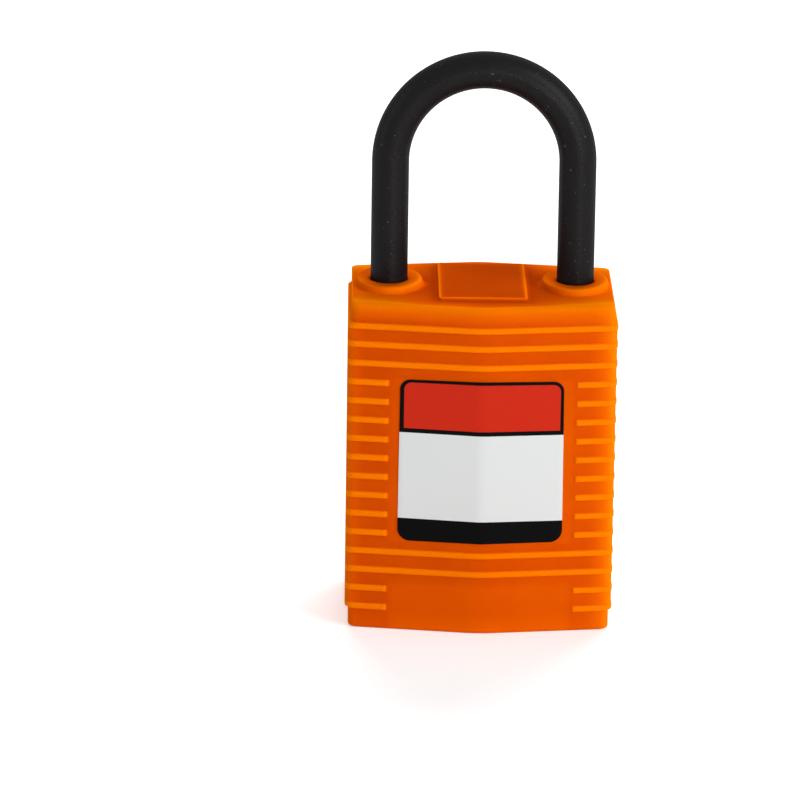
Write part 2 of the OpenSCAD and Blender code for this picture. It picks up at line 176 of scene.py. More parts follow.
@dataclass
class Skin:
    """Points in millimetres and faces of one piece, gathered surface by surface."""

    points: list[np.ndarray] = field(default_factory=list)
    faces: list[list[int]] = field(default_factory=list)
    count: int = 0

    def grid(self, grid: np.ndarray, loop: bool = False, flip: bool = False) -> int:
        """Adds a grid of points and the faces between them.

        The faces look outwards where the columns run counter-clockwise round +Z and the rows upwards.

        Args:
            grid: Points as rows x columns x 3.
            loop: Joins the last column to the first.
            flip: Turns the faces round.

        Returns:
            The number of the grid's first point.
        """
        rows, cols = grid.shape[:2]
        start = self.count
        low = start + np.arange(rows - 1)[:, None] * cols
        here = np.arange(cols if loop else cols - 1)
        there = (here + 1) % cols
        corners = [low + here, low + there, low + cols + there, low + cols + here]
        faces = np.stack(corners, -1).reshape(-1, 4)
        self.faces += (faces[:, ::-1] if flip else faces).tolist()
        self.points.append(grid.reshape(-1, 3))
        self.count += rows * cols
        return start

    def tube(self, grid: np.ndarray, foot: bool = False, head: bool = False, flip: bool = False) -> int:
        """Adds a grid that closes on itself, and a flat face over its open ends.

        Args:
            grid: Points as rows x columns x 3.
            foot: Closes the first row.
            head: Closes the last row.
            flip: Turns the faces round.

        Returns:
            The number of the last row's first point.
        """
        cols = grid.shape[1]
        start = self.grid(grid, True, flip)
        last = start + cols * (len(grid) - 1)
        for wanted, first, turned_round in ((foot, start, not flip), (head, last, flip)):
            if wanted:
                loop = list(range(first, first + cols))
                self.faces.append(loop[::-1] if turned_round else loop)
        return last

    def fill(self, loops: list[np.ndarray], spacing: float) -> None:
        """Fills a level area between an outer loop and its holes with triangles that look up.

        Points every spacing along x and y go into the area too, so that the painted light and shade can
        change over it.

        Args:
            loops: Point numbers of the outer loop and of each hole.
            spacing: Distance between the inner points in millimetres.
        """
        within_outline, merging = 1, 1e-6  # which triangles come back, and how near two points are one
        points = np.concatenate(self.points)
        numbers = np.concatenate(loops)
        level, rim = points[numbers[0], 2], points[numbers, :2]
        own = np.arange(len(numbers))
        parts = np.split(own, np.cumsum([len(loop) for loop in loops])[:-1])
        following = np.concatenate([np.roll(part, -1) for part in parts])
        after = rim[following]
        low, high = rim.min(0), rim.max(0)
        steps = [np.arange(low[i] + spacing / 2, high[i], spacing) for i in (0, 1)]
        inner = np.stack(np.meshgrid(*steps), -1).reshape(-1, 2)
        gap = np.abs(inner[:, None] - rim).sum(-1).min(1)
        inner = inner[(gap > spacing / 2) & enclosed(inner, rim, after)]
        edges = np.stack([own, following], -1).tolist()
        found, _, triangles, sources, _, _ = delaunay_2d_cdt(
            np.concatenate([rim, inner]).tolist(), edges, [], within_outline, merging)
        spots, corners = np.array(found), np.array(triangles)
        source = np.array(next(zip(*sources)))  # the first given point that each found one stands for
        given = source < len(numbers)
        extra = spots[~given]
        place = np.empty(len(spots), int)
        place[given] = numbers[source[given]]
        place[~given] = self.count + np.arange(len(extra))
        self.points.append(np.column_stack([extra, np.full(len(extra), level)]))
        self.count += len(extra)
        holes = slice(len(loops[0]), None)
        in_hole = enclosed(spots[corners].mean(1), rim[holes], after[holes])
        self.faces += place[corners[~in_hole]].tolist()

    def build(self, name: str) -> Object:
        """Makes the Blender object, in metres.

        Args:
            name: Name of the piece.

        Returns:
            The new object, at the origin.
        """
        mesh = bpy.data.meshes.new(name)
        mesh.from_pydata((np.concatenate(self.points) * MM).tolist(), [], self.faces)
        mesh.validate()
        return placed(name, mesh)


def apply_modifiers(piece: Object) -> None:
    """Turns a piece's modifiers into its mesh and drops the object's old mesh.

    Args:
        piece: The piece.
    """
    graph = bpy.context.evaluated_depsgraph_get()
    made = bpy.data.meshes.new_from_object(piece.evaluated_get(graph))
    old = piece.data
    piece.modifiers.clear()
    piece.data = made
    made.name = piece.name
    bpy.data.meshes.remove(old)


def cut(piece: Object, name: str, profile: np.ndarray, sides: int, centre: Pair = (0, 0)) -> None:
    """Takes a turned and closed solid away from a closed piece.

    Args:
        piece: The piece.
        name: Name of the cutter.
        profile: Radius and height of each point along the cutter's side, upwards.
        sides: Number of points round the cutter.
        centre: Place of its axis.

    Raises:
        RuntimeError: If the piece is still as it was, because one of the two isn't closed.
    """
    form = Skin()
    form.tube(turned(profile, sides, centre), foot=True, head=True)
    cutter = form.build(name)
    step = piece.modifiers.new("cut", "BOOLEAN")
    step.operation, step.solver, step.object = "DIFFERENCE", "MANIFOLD", cutter
    before = len(piece.data.polygons)
    apply_modifiers(piece)
    if len(piece.data.polygons) == before:
        raise RuntimeError(f"{name} took nothing away from {piece.name}")
    mesh = cutter.data
    bpy.data.objects.remove(cutter)
    bpy.data.meshes.remove(mesh)


def bevel(piece: Object, width: float, degrees: float) -> None:
    """Breaks a piece's sharp edges and turns its modifiers into its mesh.

    Args:
        piece: The piece.
        width: Width of the broken edge in millimetres.
        degrees: Angle between its faces from which an edge is broken.
    """
    edge = piece.modifiers.new("edge", "BEVEL")
    edge.width, edge.segments = width * MM, 2
    edge.limit_method, edge.angle_limit = "ANGLE", math.radians(degrees)
    apply_modifiers(piece)


def crease(piece: Object, degrees: float) -> None:
    """Shades a piece smooth except where its faces meet at more than an angle.

    A weighted normal keeps large flat faces flat beside their narrow rounded edges.

    Args:
        piece: The piece.
        degrees: Angle from which an edge stays sharp.
    """
    piece.data.shade_smooth()
    piece.data.set_sharp_from_angle(angle=math.radians(degrees))
    flat = piece.modifiers.new("flat_faces", "WEIGHTED_NORMAL")
    flat.keep_sharp = True
    flat.weight = 60


def copied(node: str, name: str, level_within: float = 0.0) -> Object:
    """Copies a CAD node as a new piece and merges the corners of its loose triangles.

    Args:
        node: Name of the CAD node.
        name: Name of the new piece.
        level_within: Angle in degrees up to which neighbouring faces become one.

    Returns:
        The new object, at the origin and without a material.
    """
    mesh = bpy.data.meshes.new(name)
    form = bmesh.new()
    form.from_mesh(frame["nodes"][node].data)
    bmesh.ops.remove_doubles(form, verts=form.verts, dist=0.0005 * MM)
    if level_within:
        limit = math.radians(level_within)
        bmesh.ops.dissolve_limit(form, angle_limit=limit, verts=form.verts, edges=form.edges)
    form.to_mesh(mesh)
    form.free()
    mesh.materials.clear()
    return placed(name, mesh)


def finished(piece: Object, node: str, slot: Slot, *materials: Material) -> Object:
    """Gives a piece its finishes and puts it in the place of its CAD node.

    Args:
        piece: The piece.
        node: Name of the CAD node that it stands for.
        slot: Material slot; not used.
        materials: Finishes, in the order of the mesh's material numbers.

    Returns:
        The piece, riding on the node's body.
    """
    piece.data.materials.clear()
    for material in materials:
        piece.data.materials.append(material)
    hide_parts(node)
    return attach(piece, frame["nodes"][node]["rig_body"])


# Finishes


def linear(code: str) -> tuple[float, float, float, float]:
    """Turns an sRGB hex colour to Blender's linear colour.

    Args:
        code: The colour, such as #F06A05.

    Returns:
        Red, green, blue and an alpha of 1.
    """
    srgb = np.array([int(code[i:i + 2], 16) for i in (1, 3, 5)]) / 255
    rgb = np.where(srgb <= 0.04045, srgb / 12.92, ((srgb + 0.055) / 1.055) ** 2.4)
    return (*rgb.tolist(), 1.0)


def add_node(tree: NodeTree, kind: str, feeds: dict | None = None, gives: str = "",
             **settings) -> NodeSocket | None:
    """Adds one node to a tree.

    Args:
        tree: The tree.
        kind: Blender's type of node, without its ShaderNode.
        feeds: Input name or number, and the value or the output socket that feeds it.
        gives: Name of the output to hand back, where it isn't the first one in use.
        settings: The node's own settings.

    Returns:
        The output socket, or None for a node without one.
    """
    node = tree.nodes.new("ShaderNode" + kind)
    for name, value in settings.items():
        setattr(node, name, value)
    for socket, value in (feeds or {}).items():
        if isinstance(value, NodeSocket):
            tree.links.new(value, node.inputs[socket])
        else:
            node.inputs[socket].default_value = value
    return node.outputs[gives] if gives else next((out for out in node.outputs if out.enabled), None)


def empty_tree(owner: Material | World) -> partial:
    """Gives a material or the surroundings an empty node tree.

    Args:
        owner: The material or world.

    Returns:
        add_node for that tree.
    """
    owner.use_nodes = True
    owner.node_tree.nodes.clear()
    return partial(add_node, owner.node_tree)


def new_material(name: str) -> tuple[Material, partial, NodeSocket]:
    """Makes an empty material.

    Args:
        name: Name of the material.

    Returns:
        The material, add_node for its tree and the output that gives an object's own coordinates.
    """
    material = bpy.data.materials.new(name)
    add = empty_tree(material)
    return material, add, add("TexCoord", gives="Object")


def per_mm(size: float) -> float:
    """Scale of a texture whose features are size millimetres, on coordinates in metres."""
    return 1 / (size * MM)


@dataclass(frozen=True)
class MouldedNylon:
    """Glass-filled nylon, injection moulded.

    It shows a satin skin with the grain of the tool, slow shifts of shade where the melt flowed, and
    light that spreads below the skin. Light and shade are also painted into its colour from a value on
    the points: painted light on thin parts at 0.5 and on ribs and edges at 1, none on plain wall at 0,
    and painted shade in inner corners at -1. Pale specks are glass fibre and scuffs. The real grain,
    about 0.05 mm, is too fine to show and is drawn several times as wide.
    """

    name: str
    colour: str  # main colour
    shade: str  # what it drifts towards
    glow: str  # painted glow on thin parts, where light comes through
    edge: str  # painted highlight on ribs and edges
    deep: str  # painted shade in inner corners
    roughness: float
    gloss: float  # share of the skin's own shine that shows, matched to the photograph
    grain_mm: float
    grain_depth_mm: float = 0.004
    flow_mm: float = 3.0  # width of the slow shifts
    drift: float = 0.035  # how far the roughness shifts with them
    spread: float = 0.0  # share of light that spreads below the skin
    spread_mm: float = 0.1  # how far it spreads in red
    speck: str = "#F98A2C"
    speck_mm: float = 0.42  # distance between specks
    speck_from: float = 1.0  # level of a noise, 0 to 1, over which they show: at 1 there are none
    speck_fade: float = 0.04
    ior: float = 1.53

    def make(self) -> Material:
        """Makes the material.

        Returns:
            The material.
        """
        material, add, place = new_material(self.name)
        flow, grain, dots = [
            add("TexNoise", {"Vector": place, "Scale": per_mm(size), "Detail": detail, "Roughness": rough})
            for size, detail, rough in ((self.flow_mm, 3.0, 0.45), (self.grain_mm, 2.0, 0.55),
                                        (self.speck_mm, 1.0, 0.4))]
        # painted light and shade, read from the points, picks the painted glow, highlight and shade colours
        painted_tone = add("Attribute", attribute_name="painted_light_and_shade", gives="Fac")
        speck_full = self.speck_from + self.speck_fade
        colour = linear(self.colour)
        for source, none, full, layer in ((flow, 0.35, 0.7, self.shade), (painted_tone, 0.0, -1.0, self.deep),
                                          (painted_tone, 0.0, 0.5, self.glow), (painted_tone, 0.5, 1.0, self.edge),
                                          (dots, self.speck_from, speck_full, self.speck)):
            share = add("MapRange", {"Value": source, "From Min": none, "From Max": full})
            colour = add("Mix", {"Factor": share, 6: colour, 7: linear(layer)}, data_type="RGBA")
        satin = add("MapRange", {
            "Value": flow, "From Min": 0.3, "From Max": 0.7, "To Min": self.roughness - self.drift,
            "To Max": self.roughness + self.drift})
        relief = add("Bump", {"Height": grain, "Strength": 1.0, "Distance": self.grain_depth_mm * MM})
        shader = add("BsdfPrincipled", {
            "Base Color": colour, "Roughness": satin, "IOR": self.ior, "Specular IOR Level": 0.0,
            "Coat Weight": self.gloss, "Coat Roughness": self.roughness, "Coat IOR": self.ior,
            "Normal": relief, "Coat Normal": relief, "Subsurface Weight": self.spread,
            "Subsurface Radius": (1.0, 0.6, 0.25), "Subsurface Scale": self.spread_mm * MM})
        add("OutputMaterial", {"Surface": shader})
        return material


@dataclass(frozen=True)
class MachinedMetal:
    """Metal turned on a lathe or drawn, which shows fine rings round the axis of the core."""

    name: str
    colour: str  # bare metal
    tarnish: str  # what it drifts towards
    roughness: float
    ring_mm: float  # spacing of the tool's rings, about three times too coarse, so that they show
    ring_depth_mm: float
    cloud_mm: float = 2.5  # width of the tarnished patches
    repeat: float = 0.314  # distance between two rings of Blender's pattern at scale 1

    def make(self) -> Material:
        """Makes the material.

        Returns:
            The material.
        """
        material, add, place = new_material(self.name)
        rings = add("TexWave", {
            "Vector": place, "Scale": self.repeat * per_mm(self.ring_mm), "Distortion": 0.6, "Detail": 2.0,
            "Detail Scale": 0.4}, gives="Fac", wave_type="RINGS", rings_direction="Z")
        cloud = add("TexNoise", {"Vector": place, "Scale": per_mm(self.cloud_mm), "Detail": 4.0})
        drift = add("MapRange", {"Value": cloud, "From Min": 0.42, "From Max": 0.75})
        colour = add("Mix", {"Factor": drift, 6: linear(self.colour), 7: linear(self.tarnish)},
                     data_type="RGBA")
        dull = add("MapRange", {"Value": cloud, "From Min": 0.3, "From Max": 0.7,
                                "To Min": self.roughness - 0.05, "To Max": self.roughness + 0.07})
        relief = add("Bump", {"Height": rings, "Strength": 1.0, "Distance": self.ring_depth_mm * MM})
        shader = add("BsdfPrincipled", {
            "Base Color": colour, "Metallic": 1.0, "Roughness": dull, "Normal": relief})
        add("OutputMaterial", {"Surface": shader})
        return material


@dataclass(frozen=True)
class PrintedVinyl:
    """Screen-printed vinyl under a clear film: flat inks, a soft gloss and a faintly wavy lie.

    Sizes are in millimetres, and heights are above the base.
    """

    name: str = "printed_vinyl_label"
    white: str = "#DDE0DF"  # bare vinyl
    black: str = "#0A0A0B"
    red: str = "#CA2C18"
    half_w: float = 10.07  # half the width of the head field
    head_top: float = 33.55  # top of the head field on the ridge
    head_fall: float = 0.1  # how far that top falls to its ends
    head_foot: float = 27.34
    head_r: float = 0.95  # radius of its upper corners
    line_foot: float = 26.76  # foot of the black line under the head field
    foot_top: float = 15.23  # top of the black foot field
    tilt: float = 0.0066  # how far the print sits askew, as height over width
    shift: float = 0.05  # how far the head field sits to the right
    blur: float = 0.02  # softness of the ink's edge
    gloss: float = 0.06  # share of the clear film's shine that shows, matched to the photograph
    ior: float = 1.5
    wave: float = 5.0  # width of the waves in its lie
    wave_depth: float = 0.05

    def make(self) -> Material:
        """Makes the material.

        The head field is where the distance from its inner frame, which lies head_r inside its top
        and sides, is under head_r, and the height is over its foot.

        Returns:
            The material.
        """
        material, add, place = new_material(self.name)
        x = add("SeparateXYZ", {0: add("VectorMath", {0: place, "Scale": 1 / MM}, operation="SCALE")})
        height = add("Math", {0: x, 1: self.tilt, 2: x.node.outputs["Z"]}, operation="MULTIPLY_ADD")
        centred = add("Math", {0: x, 1: self.shift}, operation="SUBTRACT")
        across = add("Math", {0: centred}, operation="ABSOLUTE")
        bowed = add("Math", {0: across, 1: self.head_fall / self.half_w, 2: height}, operation="MULTIPLY_ADD")
        beyond = []
        for spot, limit in ((across, self.half_w), (bowed, self.head_top)):
            past = add("Math", {0: spot, 1: limit - self.head_r}, operation="SUBTRACT")
            beyond.append(add("Math", {0: past, 1: 0.0}, operation="MAXIMUM"))
        away = add("CombineXYZ", {0: beyond[0], 1: beyond[1]})
        reach = add("VectorMath", {0: away}, operation="LENGTH")
        inside = add("MapRange", {"Value": reach, "From Min": self.head_r - self.blur,
                                  "From Max": self.head_r + self.blur, "To Min": 1.0, "To Max": 0.0})

        def above(level: float) -> NodeSocket:
            """Share, 0 to 1, by which a point lies over a height."""
            return add("MapRange", {"Value": height, "From Min": level - self.blur,
                                    "From Max": level + self.blur})

        head = add("Math", {0: inside, 1: above(self.head_foot)}, operation="MULTIPLY")
        colour = linear(self.black)
        for share, ink in ((above(self.foot_top), self.white), (above(self.line_foot), self.black),
                           (head, self.red)):
            colour = add("Mix", {"Factor": share, 6: colour, 7: linear(ink)}, data_type="RGBA")
        waves = add("TexNoise", {"Vector": place, "Scale": per_mm(self.wave), "Detail": 2.0})
        relief = add("Bump", {"Height": waves, "Strength": 1.0, "Distance": self.wave_depth * MM})
        shader = add("BsdfPrincipled", {
            "Base Color": colour, "Roughness": 0.35, "IOR": self.ior, "Specular IOR Level": 0.0,
            "Coat Weight": self.gloss, "Coat Roughness": 0.28, "Coat IOR": self.ior, "Normal": relief,
            "Coat Normal": relief})
        add("OutputMaterial", {"Surface": shader})
        return material


# Nylon from a matt tool: an even satin colour, with painted light, warmer and lighter, on its ribs and edges
# and painted shade in its corners
ORANGE_NYLON = MouldedNylon(
    "orange_nylon_moulded", colour="#DF5400", shade="#DA4F00", glow="#EE6600", edge="#FF8200",
    deep="#8E1F00", roughness=0.38, gloss=0.012, grain_mm=0.22, flow_mm=4.5, spread=0.25, spread_mm=0.3)
# Nylon with more glass: a grainy satin sheen with scattered grey specks, and no light below the skin
BLACK_NYLON = MouldedNylon(
    "black_nylon_moulded", colour="#161415", shade="#131112", glow="#161415", edge="#161415",
    deep="#0E0C0D", roughness=0.36, gloss=0.19, grain_mm=0.28, grain_depth_mm=0.05, speck="#4A4748",
    speck_from=0.74)
# Cut edge of a vinyl sheet: plain, matt and off-white
VINYL_EDGE = MouldedNylon(
    "vinyl_cut_edge", colour="#D9DADA", shade="#CFD0D0", glow="#D9DADA", edge="#D9DADA",
    deep="#D9DADA", roughness=0.5, gloss=0.1, grain_mm=0.3, speck="#E4E5E5")
# Turned brass: yellow metal with fine tool rings, browner where it has been handled
TURNED_BRASS = MachinedMetal("brass_turned", "#D9B36A", "#B8904C", 0.3, ring_mm=0.16, ring_depth_mm=0.004)
# Nickel over turned steel: brighter and smoother, with shallow rings under the plating
PLATED_STEEL = MachinedMetal(
    "steel_nickel_plated", "#C9CACC", "#A9ABAE", 0.26, ring_mm=0.2, ring_depth_mm=0.003)
# Drawn wire: grey, dull and almost plain
SPRING_STEEL = MachinedMetal(
    "spring_steel_drawn", "#B4B6BA", "#8E9196", 0.34, ring_mm=0.3, ring_depth_mm=0.002)


# Pieces


# Rows and columns of the body's skin in millimetres. They stand close over the rounded edge of a rib
# and over the inner ends of the short ribs, and further apart on the plain wall.
EDGE_ROWS = [0, 0.008, 0.025, 0.055, 0.1, 0.15, 0.21, 0.3]  # in from the edge of a rib
GAP_ROWS = np.array([-0.45, 0.0, 0.45])  # round the middle between two ribs
FOOT_ROWS = [0.55, 1.1, 1.6, 2.1, 2.5]  # heights under the lowest rib
FIELD_COLUMNS = [3.2, 4.8, 6.4, 8.0, 9.6, 10.9, 11.7]  # off the middle, as far as the short ribs
END_COLUMNS = np.array([-0.17, -0.13, -0.1, -0.092, -0.075, -0.045, 0, 0.05, 0.1, 0.108, 0.125, 0.155,
                        0.2, 0.26, 0.42])  # round the ends of the short ribs
GRIP_COLUMNS = [12.9, 13.6, 14.4, 15.2]  # along them, as far as the corner


@dataclass(frozen=True)
class PaintedTones:
    """Painted light and shade of the body's moulding from place to place, matched to the photograph.

    Values run from -1, painted shade, to 1, painted light. A pair is a tone and how far it reaches in
    millimetres.
    """

    ribs: Pair = (0.9, 0.35)  # painted light on a rib at its full rise, and the power of the rise
    top_edge: Pair = (0.85, 1.8)  # painted light from the top edge down the wall
    top_start: float = 0.3  # how far under the top face that begins
    sunny_corner: Pair = (0.9, 3.2)  # corners on the key lamp's side
    shaded_corner: Pair = (0.5, 1.3)
    wall: float = -0.08
    sunny: float = 0.08  # what the wall gains towards the key lamp's side
    bare_field: float = 0.2  # painted light on the plain field between the lowest short ribs
    beside_label: float = 0.15
    strip_fade: float = 0.6  # width over which that and the bare field set in
    foot: Pair = (0.3, 2.6)  # painted light from the base up
    face: float = -0.5  # painted shade in the middle of the top face
    planes: Pair = (0.75, 1.4)  # painted light from the face's front and back edges inwards
    sides: Pair = (0.6, 8.0)  # from its sides inwards
    corners: Pair = (0.5, 3.5)  # from its corners inwards
    corner_from: Pair = (6.0, 5.0)  # how far off the middle they set in, and how far on they are full
    nooks: Pair = (-0.4, 0.8)  # painted shade between a ring and the pad
    nook_from: Pair = (1.5, 2.5)  # the same for the nooks, off the leg and towards the middle
    crest: Pair = (0.55, 0.3)  # painted highlight on a ring's crest, and what it gains towards the key lamp
    ring_foot: float = 0.2  # what its foot gains there
    bowl: float = 0.15  # its dished middle
    leg: Pair = (-0.8, 0.3)  # painted shade round the leg
    # painted shade at the pad's foot and a painted highlight on its edge
    pad_foot: float = -0.4
    pad_edge: float = 0.75
    pad_rim: float = 0.5  # width of that edge
    lamp_x: float = 0.79  # direction of the key lamp
    lamp_y: float = -0.62


@dataclass
class RibbedBody:
    """Moulded shell: six-sided ribbed skin, top face with two rings and a pad, bores and cavity.

    Sizes are in millimetres. They are the CAD part's, apart from the top band and what is on it and
    on the walls, which was fitted to the photograph inside the CAD part's box.
    """

    half_w: float = 16.95  # plain bands above and below the ribs
    half_d: float = 13.0  # on the ridge
    height: float = 43.5  # of the top face
    plane_drop: float = 2.55  # how far a plane falls back over half the width
    corner_r: float = 1.2
    ridge_r: float = 12.0
    top_edge_r: float = 0.9
    lean_h: float = 2.2  # height of the top band, which leans back
    lean_angle: float = 36.0  # its lean at the top, in degrees
    side_edge_r: float = 0.2
    base_edge_r: float = 0.4
    inset: float = 0.35  # how far the first and last rows lie in on the base and the top face
    side_inset: float = 0.03
    grip_step: float = 0.35  # how far the sides swell over the ribs

    rib_pitch: float = 2.52
    rib_t: float = 0.83
    rib_proud: float = 0.25  # on the planes
    rib_side: float = 0.1  # on the sides
    rib_first: float = 2.69  # first rib below the top face
    rib_count: int = 16
    rib_drop: float = 0.12  # how much lower the first rib stands
    rib_inner: float = 12.05  # inner end of the short ribs
    rib_shift: float = 0.1  # how far their ends lie to the right
    rib_corner: float = 0.18  # radius of those ends
    rib_round: float = 0.27  # width of a rib's rounded edge
    rib_fillet: float = 0.08  # width of the fillet at its foot
    fillet_rise: float = 0.12  # share of its height that the fillet takes
    short_from: float = 12.15  # heights between which the ribs are short, beside the label
    short_to: float = 33.75
    bare_field_h: float = 7.0  # height under which they are short again

    leg_x: float = 12.1
    boss_foot_r: float = 4.62  # ring round a leg
    boss_top_r: float = 4.3
    boss_depth: float = 1.34  # its depth over its width
    boss_back: float = 0.25  # how far it lies behind the leg
    boss_h: float = 0.85
    boss_dish: float = 0.15
    boss_fillet: float = 0.25
    boss_round: float = 0.3
    boss_gap: float = 0.05  # between the ring and the body's side edge
    bore_r: float = 2.45
    mouth_round: float = 0.1
    heel_floor: float = 5.2
    toe_floor: float = 33.65
    pad_w: float = 11.8
    pad_front: float = 8.6
    pad_back: float = 9.9
    pad_h: float = 0.4
    pad_corner: float = 0.75
    pad_fillet: float = 0.1
    pad_round: float = 0.17
    cavity_r: float = 11.0
    roof_t: float = 2.2
    ring_sides: int = 96
    bore_sides: int = 72
    cavity_sides: int = 160
    painted_tones: PaintedTones = PaintedTones()

    def __post_init__(self) -> None:
        """Works out the planes' slope, where they would meet on the ridge, and the top face's setback."""
        self.slope = math.atan(self.plane_drop / self.half_w)
        self.apex = self.half_d + self.ridge_r * (1 / math.cos(self.slope) - 1)
        self.boss_rim = self.boss_top_r - self.boss_round
        self.top_back = -self.levels()[2][-2]

    def rib_heights(self) -> np.ndarray:
        """Middle height of each rib, from the top down."""
        number = np.arange(self.rib_count)
        return self.height - self.rib_first - self.rib_pitch * number - self.rib_drop * (number == 0)

    def levels(self) -> tuple[np.ndarray, np.ndarray, np.ndarray]:
        """Works out the rows of the skin.

        Each rib gets close rows over its rounded edges. The base edge is a quarter round, and so is
        the swell from the plain bands to the grip. Over the top band the planes lean back along a
        parabola, which an arc of top_edge_r carries on to the top face. The first and last rows lie
        inset on the flat base and top face.

        Returns:
            Height of each row, half width of the body there, and how far the planes are set out.
        """
        lean_foot, half_t = self.height - self.lean_h, self.rib_t / 2
        near = np.array([-self.rib_fillet, -self.rib_fillet / 2, *EDGE_ROWS, half_t])
        around = np.concatenate([near - half_t, (half_t - near)[-2::-1]])
        ribs = self.rib_heights()
        rows = ribs[:, None] + around
        gaps = (ribs[:-1] - self.rib_pitch / 2)[:, None] + GAP_ROWS
        middle = np.sort(np.concatenate([rows.ravel(), gaps.ravel(), FOOT_ROWS]))
        middle = middle[middle < lean_foot]
        in_grip = np.minimum(middle - ribs[-1], ribs[0] - middle) + half_t
        swell = self.grip_step * ease(in_grip / self.grip_step)
        low = np.radians(np.linspace(90, 0, 7))
        top = np.radians(np.linspace(self.lean_angle, 90, 11))
        edge_z = self.height - self.top_edge_r * (1 - np.sin(top))
        leaning = np.linspace(lean_foot, edge_z[0], 9)[1:-1]
        tilt = math.tan(top[0]) / 2 / (edge_z[0] - lean_foot)
        edge_back = tilt * (edge_z[0] - lean_foot) ** 2 + self.top_edge_r * (math.cos(top[0]) - np.cos(top))
        z = [[0.0], self.base_edge_r * (1 - np.sin(low)), middle, leaning, edge_z, [self.height]]
        back = [[self.base_edge_r + self.inset], self.base_edge_r * (1 - np.cos(low)), 0 * middle,
                tilt * (leaning - lean_foot) ** 2, edge_back, [edge_back[-1] + self.inset]]
        side_round = np.maximum(np.concatenate([leaning, edge_z]) - self.height + self.side_edge_r, 0)
        side = [*back[:2], -swell,
                self.side_edge_r - np.sqrt(np.maximum(self.side_edge_r ** 2 - side_round ** 2, 0)),
                [self.side_edge_r + self.side_inset]]
        return np.concatenate(z), self.half_w - np.concatenate(side), -np.concatenate(back)

    def quarter(self, w: np.ndarray, out: np.ndarray) -> tuple[np.ndarray, np.ndarray]:
        """Works out the front right quarter of the plan at each row.

        It runs along the ridge's arc, the plane y = x tan(slope) - apex, moved outwards by out, the
        corner's arc and the side. Both arcs touch the plane.

        Args:
            w: Half width at each row.
            out: How far the planes are set out at each row.

        Returns:
            The points as rows x columns x 2, and the outward normal of each column.
        """
        w, out = w[:, None], out[:, None]
        s, c, t = math.sin(self.slope), math.cos(self.slope), math.tan(self.slope)
        apex = self.apex + out / c
        ridge_r = self.ridge_r + out
        turn = np.linspace(0, self.slope, 6)
        ridge = np.stack([ridge_r * np.sin(turn), ridge_r / c - apex - ridge_r * np.cos(turn)], -1)
        x = np.concatenate([FIELD_COLUMNS, self.rib_inner + END_COLUMNS, GRIP_COLUMNS]) + 0 * w
        straight = np.stack([x, x * t - apex], -1)
        centre_x = w - self.corner_r
        centre_y = (s * centre_x + self.corner_r) / c - apex
        around = np.linspace(self.slope - math.pi / 2, 0, 11)
        corner = np.stack([centre_x + self.corner_r * np.cos(around),
                           centre_y + self.corner_r * np.sin(around)], -1)
        share = np.array([0.3, 0.65, 1.0])
        side = np.stack([w + 0 * share, centre_y * (1 - share)], -1)
        normal = np.concatenate([
            np.stack([np.sin(turn), -np.cos(turn)], -1), np.tile([[s, -c]], (x.shape[1], 1)),
            np.stack([np.cos(around), np.sin(around)], -1), np.tile([[1.0, 0.0]], (len(share), 1))])
        return np.concatenate([ridge, straight, corner, side], 1), normal

    def rib_rise(self, x: np.ndarray, z: np.ndarray) -> np.ndarray:
        """Works out how far a rib stands out, as a share of its full height.

        A rib's outline is a bar with rounded ends, and d is the distance inside it. The rise is a
        small fillet outside the outline and a quarter round over the first rib_round of d.

        Args:
            x: Distance from the middle of the front.
            z: Height.

        Returns:
            The share, from 0 to 1.
        """
        ribs = self.rib_heights()
        number = np.clip(np.rint((ribs[0] - z) / self.rib_pitch).astype(int), 0, self.rib_count - 1)
        middle = ribs[number]
        short = ((middle < self.short_to) & (middle > self.short_from)) | (middle < self.bare_field_h)
        in_z = self.rib_t / 2 - np.abs(z - middle)
        off_x = self.rib_inner + self.rib_corner - np.abs(x - self.rib_shift)
        off_z = self.rib_corner - in_z
        outside = np.hypot(np.maximum(off_x, 0), np.maximum(off_z, 0))
        d = np.where(short, self.rib_corner - outside - np.minimum(np.maximum(off_x, off_z), 0), in_z)
        fillet = self.fillet_rise * np.clip(1 + d / self.rib_fillet, 0, 1) ** 2
        return np.where(d > 0, self.fillet_rise + (1 - self.fillet_rise) * ease(d / self.rib_round), fillet)

    def skin(self) -> np.ndarray:
        """Works out the outer skin, from the edge of the base to the edge of the top face.

        Each point of the quarter plan moves out along its normal by the rib's rise, by rib_proud on
        the planes and rib_side on the sides, and the quarter is then mirrored to the other three.

        Returns:
            The grid of points, counter-clockwise round +Z.
        """
        z, w, out = self.levels()
        flat, normal = self.quarter(w, out)
        amount = self.rib_side + (self.rib_proud - self.rib_side) * normal[:, 1] ** 2
        rise = self.rib_rise(flat[..., 0], z[:, None])
        flat = flat + (amount * rise)[..., None] * normal
        loop = np.concatenate([flat, flat[:, -2::-1] * [1, -1], -flat[:, 1:], flat[:, -2:0:-1] * [-1, 1]], 1)
        return np.concatenate([loop, np.broadcast_to(z[:, None, None], (*loop.shape[:2], 1))], 2)

